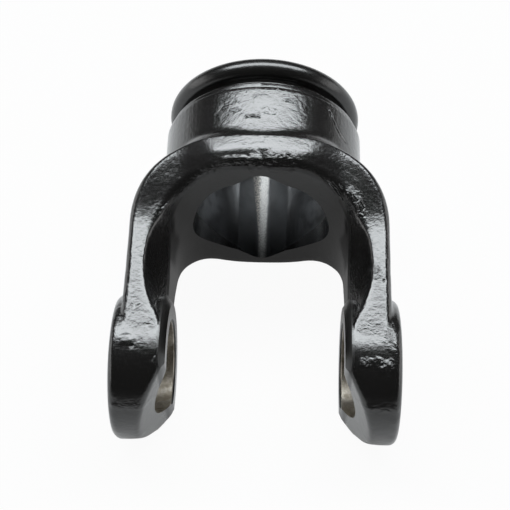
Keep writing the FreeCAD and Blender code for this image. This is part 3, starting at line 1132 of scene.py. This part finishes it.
def bare_mask(tree, at, away, blotch, ear):
    """1 on bare steel, 0 where the paint crept into the hub bore."""
    below = ramp(tree, at["Z"], 0.0, CREEP_BELOW, 1.0, 0.0)
    creep = calculate(tree, "MULTIPLY", ramp(tree, away, *CREEP_ACROSS, 0.0, PAINT_CREEP), below)
    waver = calculate(tree, "MULTIPLY", blotch, CREEP_WAVER)
    line = calculate(tree, "ADD", calculate(tree, "ADD", creep, PAINT_FROM), waver)
    past = calculate(tree, "SUBTRACT", at["Y"], line)
    return calculate(tree, "MAXIMUM", ramp(tree, past, -CREEP_EDGE, CREEP_EDGE), ear)


# %% Bare steel in the bores
STEEL_ROUGHNESS = (0.30, 0.5)
DULL_FROM = (0.35, 0.7)
LOBE_ROUGHNESS = 0.52
LOBE_EDGE = 0.8
STREAKS = (6.0, 0.35, 6.0)
STREAK_DETAIL = 2.0
STREAK_STRENGTH = 0.3
STREAK_DEPTH = 0.02


def streak_bump(tree, where):
    """Faint streaks along the hub, as a normal."""
    stretch = tree.nodes.new("ShaderNodeMapping")
    stretch.inputs["Scale"].default_value = STREAKS
    tree.links.new(where, stretch.inputs["Vector"])
    bump = tree.nodes.new("ShaderNodeBump")
    bump.inputs["Strength"].default_value = STREAK_STRENGTH
    bump.inputs["Distance"].default_value = STREAK_DEPTH * MM
    tree.links.new(noise(tree, stretch.outputs[0], 1.0, STREAK_DETAIL), bump.inputs["Height"])
    return bump.outputs[0]


def bare_steel():
    """Steel in the three bores, black where the paint crept in."""
    material = bpy.data.materials.new("bare_steel")
    material.use_nodes = True
    tree = material.node_tree
    shader = tree.nodes["Principled BSDF"]
    where, at = own_place(tree)
    away = calculate(tree, "ABSOLUTE", at["X"])
    blotch = noise(tree, where, STAIN_PER_MM, STAIN_DETAIL)
    speckle = ramp(tree, noise(tree, where, SPECKLE_PER_MM, SPECKLE_DETAIL), *SPECKLE_FROM)
    across = calculate(tree, "DIVIDE", at["X"], ramp(tree, at["Y"], *TAPER, TAPER_LEAST, 1.0))
    ear = ramp(tree, away, *EAR_FROM)
    bare = bare_mask(tree, at, away, blotch, ear)
    colour = blend(tree, ear, hub_steel(tree, at, across, speckle), ear_steel(tree, blotch, speckle))
    tree.links.new(blend(tree, bare, PAINT_COLOUR, colour), shader.inputs["Base Color"])
    tree.links.new(bare, shader.inputs["Metallic"])
    lobe = between(tree, across, *BAND, LOBE_EDGE)
    lobe = calculate(tree, "SUBTRACT", lobe, calculate(tree, "MULTIPLY", lobe, ear))
    dull = ramp(tree, blotch, *DULL_FROM, *STEEL_ROUGHNESS)
    dull = blend(tree, lobe, dull, LOBE_ROUGHNESS, "FLOAT")
    tree.links.new(blend(tree, bare, PAINT_ROUGHNESS, dull, "FLOAT"), shader.inputs["Roughness"])
    tree.links.new(streak_bump(tree, where), shader.inputs["Normal"])
    return material


steel = bare_steel()
print("steel:", len(steel.node_tree.nodes), "nodes")

# %% [markdown]
# The paint goes on everything first. Then the faces of the bores get the steel. They
# lie close to a bore's axis and don't face along it, which tells them from the end faces.

# %% Put the skin and the materials on
# millimetres outside a bore's radius, and where along its axis, a face still counts as bare
BARE_HUB = 4.1
BARE_EAR = 1.1
BARE_FORK_END = 4.0
BARE_MOUTH = 88.0
BARE_INSIDE = 25.0
# how far a bare face may turn towards its bore's axis: 0 is along the bore, 1 an end face
FACING_HUB = 0.3
FACING_MOUTH = 0.9
FACING_EAR = 0.8


def bare_faces(mesh):
    """The faces of the three bores: near their axes, and not end faces."""
    count = len(mesh.polygons)
    centres = np.empty(count * 3)
    facing = np.empty(count * 3)
    mesh.polygons.foreach_get("center", centres)
    mesh.polygons.foreach_get("normal", facing)
    facing = np.abs(facing.reshape(-1, 3) @ np.array(TO_YOKE.to_3x3()).T)
    x, y, z = own_axes(centres.reshape(-1, 3)).T
    by_hub = np.hypot(x, z) < HUB_BORE + BARE_HUB
    in_hub = by_hub & (y > U_DEEP - BARE_FORK_END) & (facing[:, 1] < FACING_HUB)
    in_mouth = by_hub & (y > BARE_MOUTH) & (facing[:, 1] < FACING_MOUTH)
    by_ear = np.hypot(y, z) < EAR_BORE + BARE_EAR
    in_ear = by_ear & (np.abs(x) > BARE_INSIDE) & (facing[:, 0] < FACING_EAR)
    return in_hub | in_mouth | in_ear


apply_group(yoke, forged_skin_group(), Seed=SKIN_SEED, Paint=paint)
yoke.data.materials.append(steel)
index = np.where(bare_faces(yoke.data), 1, 0).astype(np.int32)
yoke.data.polygons.foreach_set("material_index", index)
yoke.data.update()
print("yoke:", len(yoke.data.polygons), "faces,", int(index.sum()), "bare")

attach(yoke, "root")
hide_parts("forged_yoke")
